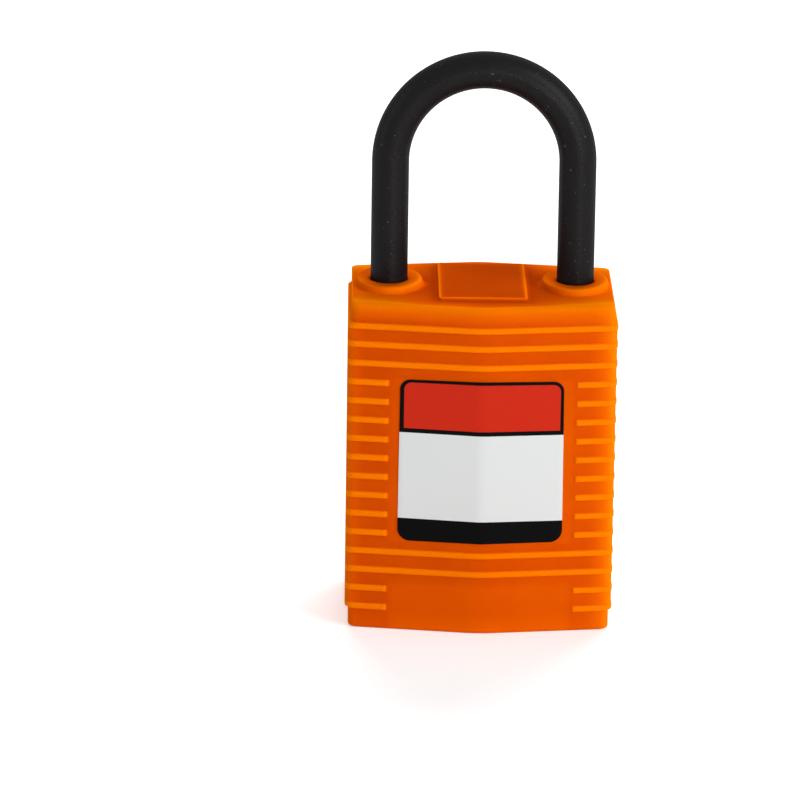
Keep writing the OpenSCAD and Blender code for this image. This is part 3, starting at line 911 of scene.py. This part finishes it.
    def ring(self, side: int) -> np.ndarray:
        """Works out the ring round a leg.

        Its profile is a fillet, a slope, a rounded crest and a dished middle that runs in past the
        bore's wall. The ring is oval, and the side of the body cuts it off.

        Args:
            side: 1 for the toe leg, -1 for the heel leg.

        Returns:
            The grid of points, from the foot inwards.
        """
        top = self.height + self.boss_h
        foot = bend((self.boss_foot_r, self.height + self.boss_fillet), self.boss_fillet, -90, -160, 6)
        crest = bend((self.boss_rim, top - self.boss_round), self.boss_round, 20, 90, 10)
        inside = np.linspace(self.boss_rim - 0.12, self.bore_r - 0.5, 11)
        share = (self.boss_rim - inside) / (self.boss_rim - self.bore_r)
        dish = np.stack([inside, top - self.boss_dish * share ** 1.5], -1)
        grid = turned(np.concatenate([foot, crest, dish]), self.ring_sides)
        grid[..., 1] = grid[..., 1] * self.boss_depth + self.boss_back
        limit = self.half_w - self.side_edge_r - self.boss_gap - self.leg_x
        grid[..., 0] = side * (self.leg_x + np.minimum(side * grid[..., 0], limit))
        return grid

    def pad(self) -> np.ndarray:
        """Works out the raised pad.

        Each row is a rounded rectangle, set in and up along a fillet, a steep wall and a round edge.

        Returns:
            The grid of points, from the pad's foot to the edge of its flat top.
        """
        fillet, edge = self.pad_fillet, self.pad_round
        profile = np.concatenate([
            bend((0.0, fillet), fillet, -90, -10, 5), [[0.13, self.pad_h / 2]],
            bend((2 * edge, self.pad_h - edge), edge, 180, 90, 6), [[0.7, self.pad_h]]])
        half = np.array([self.pad_w, self.pad_front + self.pad_back]) / 2
        steps = 8
        angle = np.radians(np.concatenate([np.linspace(a, a + 90, steps) for a in (0, 90, 180, 270)]))
        facing = np.stack([np.cos(angle), np.sin(angle)], -1)
        quadrant = np.repeat(np.array([[1, 1], [-1, 1], [-1, -1], [1, -1]]), steps, 0)
        inset, rise = profile[:, :1, None], profile[:, 1:, None]
        flat = quadrant * (half - self.pad_corner) + facing * (self.pad_corner - inset)
        flat[..., 1] += (self.pad_back - self.pad_front) / 2
        return np.concatenate([flat, self.height + np.broadcast_to(rise, (*flat.shape[:2], 1))], 2)

    def bore_profile(self, floor: float) -> np.ndarray:
        """Works out the side of a leg's bore, which opens along a rounded mouth.

        Args:
            floor: Height of the bore's floor.

        Returns:
            Radius and height of each point, upwards.
        """
        top = self.height + self.boss_h - self.boss_dish
        lip = bend((self.bore_r + self.mouth_round, top - self.mouth_round), self.mouth_round, 180, 105, 7)
        return np.concatenate([[[self.bore_r, floor], [self.bore_r, self.height]], lip,
                               [[lip[-1, 0] + 0.02, top + 1]]])

    def wall_light(self, x: np.ndarray, z: np.ndarray) -> np.ndarray:
        """Works out the painted light and shade of the walls.

        Painted light on a rib counts by its rise, and painted light from the top edge and the corners
        fades out. What each leaves of 1 is multiplied. The foot, the field between the lowest ribs, the
        strips beside the label and the key lamp's side are painted a little lighter than the wall
        between the ribs.

        Args:
            x: Distance from the middle of the front.
            z: Height.

        Returns:
            The tone at each point.
        """
        tone, out, sunny = self.painted_tones, np.abs(x), x / self.half_w
        rib = tone.ribs[0] * self.rib_rise(x, z) ** tone.ribs[1]
        top = tone.top_edge[0] * np.clip(1 - (self.height - tone.top_start - z) / tone.top_edge[1], 0, 1)
        amount, reach = [np.where(sunny > 0, *pair) for pair in zip(tone.sunny_corner, tone.shaded_corner)]
        corner = amount * np.clip((out - self.half_w + reach) / reach, 0, 1) ** 1.5
        beside = np.clip((self.rib_inner - out) / tone.strip_fade, 0, 1)
        bare = tone.bare_field * np.clip(self.bare_field_h - z, 0, 1)
        label_side = tone.beside_label * ((z > self.short_from) & (z < self.short_to))
        foot = tone.foot[0] * np.clip(1 - z / tone.foot[1], 0, 1)
        plain = tone.wall + beside * (bare + label_side) + foot + tone.sunny * sunny
        return 1 - (1 - plain) * (1 - rib) * (1 - top) * (1 - corner)

    def face_light(self, x: np.ndarray, y: np.ndarray) -> np.ndarray:
        """Works out the painted light and shade of the plain top face.

        It is painted in shade in its middle and painted lighter towards the thin moulding of its edges.
        The painted light fades inwards from the planes and the corners by e in each reach, and from the
        sides along a bell.

        Args:
            x: Distance from the middle of the front, always positive.
            y: Distance from the middle of the side, always positive.

        Returns:
            The tone at each point.
        """
        tone = self.painted_tones
        inward = (self.apex - y - x * math.tan(self.slope)) * math.cos(self.slope) - self.top_back
        inward, sideways = np.maximum(inward, 0), np.maximum(self.half_w - self.side_edge_r - x, 0)
        planes = tone.planes[0] * np.exp(-inward / tone.planes[1])
        sides = tone.sides[0] * np.exp(-(sideways / tone.sides[1]) ** 2)
        near = np.clip((x - tone.corner_from[0]) / tone.corner_from[1], 0, 1)
        corners = tone.corners[0] * near * np.exp(-inward / tone.corners[1])
        return tone.face + planes + sides + corners

    def ring_light(self, points: np.ndarray, radius: np.ndarray, face: np.ndarray) -> np.ndarray:
        """Works out the painted light and shade of the rings.

        It runs from the face's tone up to a painted highlight on the crest, which is lightest towards
        the key lamp, and down the dished middle to painted shade at the leg.

        Args:
            points: Points in millimetres.
            radius: Distance of each point from the nearer ring's axis, across its width.
            face: Painted light and shade of the top face at each point.

        Returns:
            The tone at each point.
        """
        tone, off_x = self.painted_tones, points[:, 0] - np.sign(points[:, 0]) * self.leg_x
        facing = (tone.lamp_x * off_x + tone.lamp_y * points[:, 1]) / self.boss_foot_r
        crest = tone.crest[0] + tone.crest[1] * np.clip(facing, -1, 1)
        foot = np.clip(face, -0.4, 0.4) + tone.ring_foot * np.clip(facing, 0, 1)
        rise = np.clip((points[:, 2] - self.height) / self.boss_h, 0, 1)
        bowl = np.clip((radius - self.bore_r) / (self.boss_rim - self.bore_r), 0, 1)
        to_leg = np.maximum(np.hypot(off_x, points[:, 1]) - self.bore_r, 0)
        dished = tone.bowl + (crest - 0.2) * bowl ** 3 + tone.leg[0] * np.exp(-to_leg / tone.leg[1])
        return np.where(radius < self.boss_rim, dished, foot + (crest - foot) * rise ** 0.4)

    def painted_light_and_shade(self, points: np.ndarray) -> np.ndarray:
        """Works out the painted light and shade of the moulding at each point.

        The face is painted in shade in the nooks between the rings and the pad, and the pad runs from
        painted shade at its foot to a painted highlight on its edge.

        Args:
            points: Points in millimetres.

        Returns:
            The painted light and shade, from -1 to 1.
        """
        tone, x, y, z = self.painted_tones, np.abs(points[:, 0]), np.abs(points[:, 1]), points[:, 2]
        plain = self.face_light(x, y)
        radius = np.hypot(x - self.leg_x, (points[:, 1] - self.boss_back) / self.boss_depth)
        in_pad = np.minimum(self.pad_w / 2 - x, np.where(points[:, 1] < 0, self.pad_front, self.pad_back) - y)
        gaps = np.maximum([radius - self.boss_foot_r, -in_pad], 0)
        nook = np.exp(-gaps / tone.nooks[1]).sum(0)
        inside = np.clip((self.leg_x - tone.nook_from[0] - x) / tone.nook_from[1], 0, 1)
        face = plain + tone.nooks[0] * nook * inside
        step = np.clip((z - self.height) / self.pad_h, 0, 1)
        rim = tone.pad_foot + (tone.pad_edge - tone.pad_foot) * step ** 2
        pad = np.where(in_pad > tone.pad_rim, plain, rim)
        slack = 0.01
        places = [z < self.height - slack / 10, in_pad > -self.pad_fillet - slack,
                  radius < self.boss_foot_r + 3 * slack]
        painted_tones = [self.wall_light(points[:, 0], z), pad, self.ring_light(points, radius, face)]
        light = np.select(places, painted_tones, face)
        return np.clip(light, -1, 1)

    def build(self, material: Material) -> Object:
        """Builds the shell.

        Args:
            material: Its finish.

        Returns:
            The piece, riding on the body and standing for the CAD shell.
        """
        form = Skin()
        skin, pad = self.skin(), self.pad()
        outline = np.arange(skin.shape[1]) + form.tube(skin, foot=True)
        holes = []
        for side in (-1, 1):
            holes.append(np.arange(self.ring_sides) + form.count)
            form.tube(self.ring(side), head=True)
        pad_foot = np.arange(pad.shape[1]) + form.count
        form.fill([np.arange(pad.shape[1]) + form.tube(pad)], 0.8)
        form.fill([outline, *holes, pad_foot], 0.6)
        piece = form.build("ribbed_body")
        cavity = np.array([[self.cavity_r, -1.0], [self.cavity_r, self.height - self.roof_t]])
        cut(piece, "cavity_cutter", cavity, self.cavity_sides)
        for side, floor in ((-1, self.heel_floor), (1, self.toe_floor)):
            cut(piece, "bore_cutter", self.bore_profile(floor), self.bore_sides, (side * self.leg_x, 0))
        points = np.empty(3 * len(piece.data.vertices))
        piece.data.vertices.foreach_get("co", points)
        # painted light and shade of the moulding, stored on the points for its colour
        light = piece.data.attributes.new("painted_light_and_shade", "FLOAT", "POINT")
        light.data.foreach_set("value", self.painted_light_and_shade(points.reshape(-1, 3) / MM))
        crease(piece, 40)
        return finished(piece, "body_shell", Slot.BODY, material)


@dataclass
class WrappedLabel:
    """Vinyl label laid over the front ridge, with its corners rounded. Sizes in millimetres."""

    body: RibbedBody
    half_w: float = 10.66
    shift: float = -0.01  # to the right
    foot: float = 12.26
    head: float = 33.82
    head_bow: float = 0.15  # how far the head bows up on the ridge
    head_tilt: float = 0.0041  # how far it sits askew, as height over width
    taper: float = 0.012  # how much narrower it is at the head, as a share
    foot_r: float = 1.6
    head_r: float = 1.3
    fold_r: float = 5.0  # over the ridge
    thickness: float = 0.12
    lift: float = 0.13  # outer face over the body's planes
    edge_w: float = 0.03

    def build(self, printed: Material, edge: Material) -> Object:
        """Builds the label.

        Its sheet is a grid over x and z. The half width shrinks along the corners' arcs, the head
        bows up on the ridge, by the fourth power of the height up the label, and y follows the two
        planes, joined by an arc of fold_r over the ridge.

        Args:
            printed: Finish of its face.
            edge: Finish of its cut edge.

        Returns:
            The piece, riding on the body and standing for the CAD label.
        """
        share = 1 - np.cos(np.radians(np.linspace(0, 90, 13)))
        low, high = self.foot + self.foot_r, self.head - self.head_r
        z = np.concatenate([self.foot + self.foot_r * share, np.linspace(low, high, 26)[1:-1],
                            self.head - self.head_r * share[::-1]])
        r = np.where(z < (low + high) / 2, self.foot_r, self.head_r)
        rise = np.maximum(r - np.minimum(z - self.foot, self.head - z), 0)
        half = self.half_w - r + np.sqrt(np.maximum(r ** 2 - rise ** 2, 0))
        up = ((z - self.foot) / (self.head - self.foot))[:, None]
        plane, ridge = np.linspace(0.09, 1, 18), np.linspace(-0.075, 0.075, 13)
        across = np.concatenate([-plane[::-1], ridge, plane])
        x = half[:, None] * (1 - self.taper * up) * across + self.shift
        t, c = math.tan(self.body.slope), math.cos(self.body.slope)
        apex = self.body.apex + self.lift / c
        reach = self.fold_r * math.sin(self.body.slope)
        fold = self.fold_r / c - np.sqrt(self.fold_r ** 2 - np.minimum(np.abs(x), reach) ** 2)
        y = np.where(np.abs(x) < reach, fold, np.abs(x) * t) - apex
        bow = self.head_bow * (1 - np.abs(x) / self.half_w) - self.head_tilt * x
        form = Skin()
        form.grid(np.stack([x, y, z[:, None] + up ** 4 * bow], -1))
        piece = form.build("wrapped_label")
        sheet = piece.modifiers.new("sheet", "SOLIDIFY")
        sheet.thickness, sheet.offset, sheet.material_offset_rim = self.thickness * MM, -1, 1
        bevel(piece, self.edge_w, 60)
        crease(piece, 50)
        return finished(piece, "front_label", Slot.LABEL, printed, edge)


@dataclass
class Bow:
    """One-piece nylon shackle with its retaining groove and cam notches. Sizes in millimetres."""

    leg_r: float = 2.41
    leg_x: float = 12.1
    arch_z: float = 59.93  # where the legs end and the arch starts
    heel_z: float = 17.45
    toe_z: float = 34.15
    chamfer: float = 0.6
    groove: Pair = (19.45, 31.95)  # heights of its two ends
    groove_r: float = 1.65
    notch: Pair = (35.6, 39.75)
    notch_x: float = 10.8
    sides: int = 64
    arch_steps: int = 96

    def leg_rows(self, foot: float, grooved: bool) -> np.ndarray:
        """Lists the rows of a leg from its foot up to the arch.

        Args:
            foot: Height of the leg's end.
            grooved: Whether the leg has the retaining groove.

        Returns:
            Height, radius and, as 1 or 0, whether the notch is cut, for each row.
        """
        r, (low, high) = self.leg_r, self.groove
        soft = bend((r - self.chamfer, foot + self.chamfer), self.chamfer, -90, 0, 7)
        rows = [(z, near, 0) for near, z in soft]
        if grooved:
            rows += [(low, r, 0), (low, self.groove_r, 0), (high, self.groove_r, 0), (high, r, 0)]
        low, high = self.notch
        rows += [(low, r, 0), (low, r, 1), (high, r, 1), (high, r, 0)]
        return np.array(rows + [(z, r, 0) for z in np.linspace(high, self.arch_z, 14)[1:]])

    def build(self, material: Material) -> Object:
        """Builds the bow.

        A circle is carried up the heel leg, round the arch and down the toe leg. Where the notch
        is cut, |x| is held at no less than notch_x.

        Args:
            material: Its finish.

        Returns:
            The piece, riding on the shackle's body and standing for the CAD shackle.
        """
        heel, toe = self.leg_rows(self.heel_z, True), self.leg_rows(self.toe_z, False)[::-1]
        sweep = np.linspace(np.pi, 0, self.arch_steps + 1)[1:-1]
        arch = np.column_stack([
            self.arch_z + self.leg_x * np.sin(sweep), self.leg_r + 0 * sweep, 0 * sweep])
        z, radius, notched = np.concatenate([heel, arch, toe]).T[:, :, None]
        facing = np.concatenate([np.full(len(heel), np.pi), sweep, np.zeros(len(toe))])[:, None]
        angle = np.linspace(0, 2 * np.pi, self.sides, endpoint=False)
        away = radius * np.cos(angle)
        points = np.stack([(self.leg_x + away) * np.cos(facing), radius * np.sin(angle),
                           z + away * np.sin(facing)], -1)
        held = np.sign(points[..., 0]) * np.maximum(np.abs(points[..., 0]), self.notch_x)
        points[..., 0] = np.where(notched > 0, held, points[..., 0])
        form = Skin()
        form.tube(points, foot=True, head=True, flip=True)
        piece = form.build("bow")
        crease(piece, 40)
        return finished(piece, "shackle", Slot.BLACK, material)


@dataclass
class BrokenEdges:
    """Copies of CAD solids whose sharp edges are broken by a small bevel, as a tool leaves them."""

    width: float = 0.08  # in millimetres
    level_within: float = 0.5  # angle in degrees up to which two faces of a solid count as one

    def build(self, node: str, name: str, slot: Slot, material: Material) -> Object:
        """Builds one copy.

        Args:
            node: Name of the CAD node.
            name: Name of the new piece.
            slot: Material slot.
            material: Finish of the piece.

        Returns:
            The piece, riding on the node's body and standing for the node.
        """
        piece = copied(node, name, self.level_within)
        bevel(piece, self.width, 50)
        crease(piece, 40)
        return finished(piece, node, slot, material)


@dataclass
class Springs:
    """Copies of the springs that follow a joint."""

    material: Material
    end_coil: float = 0.9  # height in millimetres of the closed coil at each end

    def build(self) -> list[str]:
        """Builds each spring that the record says changes its length.

        A spring whose fixed end lies above its middle rides on the joint's parent body with a mesh of
        its own, and the others stay where they stand; their lengths don't change.

        Returns:
            The names of the springs.
        """
        names = []
        for joint in frame["record"]["behaviour"]["joints"]:
            for soft in joint.get("deforming_nodes", []):
                low, high = [corner[2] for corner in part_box(soft["node"])]
                fixed = soft["fixed_end_z_m"]
                spring = copied(soft["node"], soft["node"].replace("spring", "coil"))
                spring.data.set_sharp_from_angle(angle=math.radians(50))
                spring.data.materials.append(self.material)
                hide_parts(soft["node"])
                if fixed > (low + high) / 2:
                    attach(spring, joint["parent"])
                    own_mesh(spring)
                else:
                    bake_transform(spring)
                names.append(spring.name)
        return names


@dataclass
class InnerPieces:
    """CAD solids inside the lock that keep their shape and get their finish."""

    finishes: dict[Slot, Material]

    def dress(self) -> list[str]:
        """Gives each CAD node that still shows the material of its slot.

        Returns:
            The names of the dressed nodes.
        """
        slots = {row["node"]: Slot(row["material_slot"]) for row in frame["record"]["subparts"]}
        showing = {name: node for name, node in frame["nodes"].items() if not node.hide_render}
        for name, node in showing.items():
            node.data.materials.clear()
            node.data.materials.append(self.finishes[slots[name]])
        return list(showing)


# Studio


def looking(target: tuple[float, float, float], azimuth: float, elevation: float, distance: float,
            roll: float = 0.0) -> Matrix:
    """Works out the place of a lamp or camera that looks at a target.

    Its back points to (sin a cos e, -cos a cos e, sin e), and its side is level before the roll.

    Args:
        target: Where it looks.
        azimuth: Direction in degrees, 0 in front and 90 on the right.
        elevation: Height in degrees above the horizon.
        distance: Distance in metres.
        roll: Turn about the line of sight in degrees.

    Returns:
        The object's matrix.
    """
    a, e, r = np.radians([azimuth, elevation, roll])
    back = np.array([np.sin(a) * np.cos(e), -np.cos(a) * np.cos(e), np.sin(e)])
    side = np.array([np.cos(a), np.sin(a), 0.0])
    up = np.cross(back, side)
    place = np.eye(4)
    place[:3] = np.stack([np.cos(r) * side + np.sin(r) * up, np.cos(r) * up - np.sin(r) * side, back,
                          np.array(target) + back * distance], 1)
    return Matrix(place.tolist())


@dataclass(frozen=True)
class Lamp:
    """Soft box that looks at the middle of the lock."""

    name: str
    azimuth: float  # as looking() has it
    elevation: float
    distance: float
    size: Pair  # width and height in metres
    level: float  # brightness that it gives a white board which faces it, where 1 is white
    mirrored: bool = True  # whether gloss shows the lamp

    def build(self, target: tuple[float, float, float]) -> None:
        """Builds the lamp. Its power is level (pi distance)^2.

        Args:
            target: Where it looks.
        """
        data = bpy.data.lights.new(self.name, "AREA")
        data.shape, data.size, data.size_y = "RECTANGLE", *self.size
        data.energy = self.level * (math.pi * self.distance) ** 2
        lamp = placed(self.name, data)
        lamp.matrix_world = looking(target, self.azimuth, self.elevation, self.distance)
        lamp.visible_glossy = self.mirrored


@dataclass
class Studio:
    """Pale floor, white surroundings, soft boxes and the camera. Sizes in metres.

    The key box gives the long shadow and the light right side, the front one the even tone of the
    labelled face, the rear one the top face, and the left one keeps the shaded side from closing.
    """

    target: tuple[float, float, float] = (0.0, 0.0, 0.032)
    floor_r: float = 2.5
    floor_z: float = -0.02 * MM  # a hair under the base, so that the two faces don't fight
    floor_glow: float = 0.42  # what lifts the floor to white in the picture
    ambient: float = 0.3  # light of the surroundings on the lock
    lamps: tuple[Lamp, ...] = (
        Lamp("key_soft_box", 52, 28, 1.1, (0.6, 0.7), 0.54),
        Lamp("front_soft_box", 20, 3, 1.5, (0.5, 0.08), 0.23),
        Lamp("rear_soft_box", 172, 42, 1.2, (1.0, 0.6), 0.8, False),
        Lamp("left_strip_box", -78, 12, 1.0, (0.12, 0.8), 0.12),
    )

    def seen_white(self, add: partial, unseen: float, seen: float) -> NodeSocket:
        """Makes a brightness that depends on what looks.

        Args:
            add: add_node for a tree.
            unseen: Brightness as a source of light.
            seen: Brightness to the camera, to gloss and through glass.

        Returns:
            The output that gives the brightness.
        """
        looks = add("LightPath", gives="Is Camera Ray")
        rays = looks.node.outputs
        for ray in ("Is Glossy Ray", "Is Transmission Ray"):
            looks = add("Math", {0: looks, 1: rays[ray]}, operation="MAXIMUM")
        return add("MapRange", {"Value": looks, "To Min": unseen, "To Max": seen})

    def build_world(self) -> None:
        """Makes the surroundings: white to the eye, a plain soft light on the lock."""
        world = bpy.data.worlds.new("white_surroundings")
        bpy.context.scene.world = world
        add = empty_tree(world)
        strength = self.seen_white(add, self.ambient, 1.0)
        sky = add("Background", {"Color": linear("#FFFFFF"), "Strength": strength})
        add("OutputWorld", {"Surface": sky})

    def build_floor(self) -> None:
        """Makes the floor: pale matt board that looks white where no shadow falls on it."""
        form = Skin()
        form.tube(turned(np.array([[self.floor_r / MM, self.floor_z / MM]]), 96), head=True)
        floor = form.build("floor")
        material = bpy.data.materials.new("pale_board_matt")
        add = empty_tree(material)
        board = add("BsdfDiffuse", {"Color": linear("#F0F0F0")})
        strength = self.seen_white(add, 0.0, self.floor_glow)
        glow = add("Emission", {"Color": linear("#FFFFFF"), "Strength": strength})
        add("OutputMaterial", {"Surface": add("AddShader", {0: board, 1: glow})})
        floor.data.materials.append(material)

    def build_camera(self) -> None:
        """Makes the camera at the photograph's viewing angle: a long lens, slightly above the lock."""
        data = bpy.data.cameras.new("camera")
        data.sensor_width, data.lens, data.clip_start, data.clip_end = 36.0, 248.0, 0.01, 20.0
        camera = placed("camera", data)
        camera.matrix_world = looking((-0.010439, 0.0, 0.027764), -0.578, 15.96, 0.72033, roll=0.82)
        bpy.context.scene.camera = camera

    def build(self) -> None:
        """Builds the whole studio."""
        self.build_world()
        self.build_floor()
        for lamp in self.lamps:
            lamp.build(self.target)
        self.build_camera()
        bpy.context.scene.view_settings.view_transform = "Standard"


def report(piece: Object) -> None:
    """Logs a finished piece."""
    log.info("%s: %d points, %d faces", piece.name, len(piece.data.vertices), len(piece.data.polygons))


def main() -> None:
    """Builds the padlock's pieces, the studio and the camera."""
    logging.basicConfig(level=logging.INFO, format="%(name)s: %(message)s")
    finishes = {slot: finish.make() for slot, finish in (
        (Slot.BODY, ORANGE_NYLON), (Slot.BLACK, BLACK_NYLON), (Slot.LABEL, PrintedVinyl()),
        (Slot.BRASS, TURNED_BRASS), (Slot.STEEL, PLATED_STEEL), (Slot.SPRING, SPRING_STEEL))}
    body = RibbedBody()
    report(body.build(finishes[Slot.BODY]))
    report(WrappedLabel(body).build(finishes[Slot.LABEL], VINYL_EDGE.make()))
    report(Bow().build(finishes[Slot.BLACK]))
    for node, name, slot in (("bottom_cap", "welded_cap", Slot.BODY),
                             ("core_sleeve", "sleeve_nose", Slot.BRASS),
                             ("face_plate", "slotted_plate", Slot.STEEL)):
        report(BrokenEdges().build(node, name, slot, finishes[slot]))
    log.info("springs: %s", ", ".join(Springs(finishes[Slot.SPRING]).build()))
    log.info("CAD solids dressed: %s", ", ".join(InnerPieces(finishes).dress()))
    Studio().build()


if __name__ == "__main__":
    main()
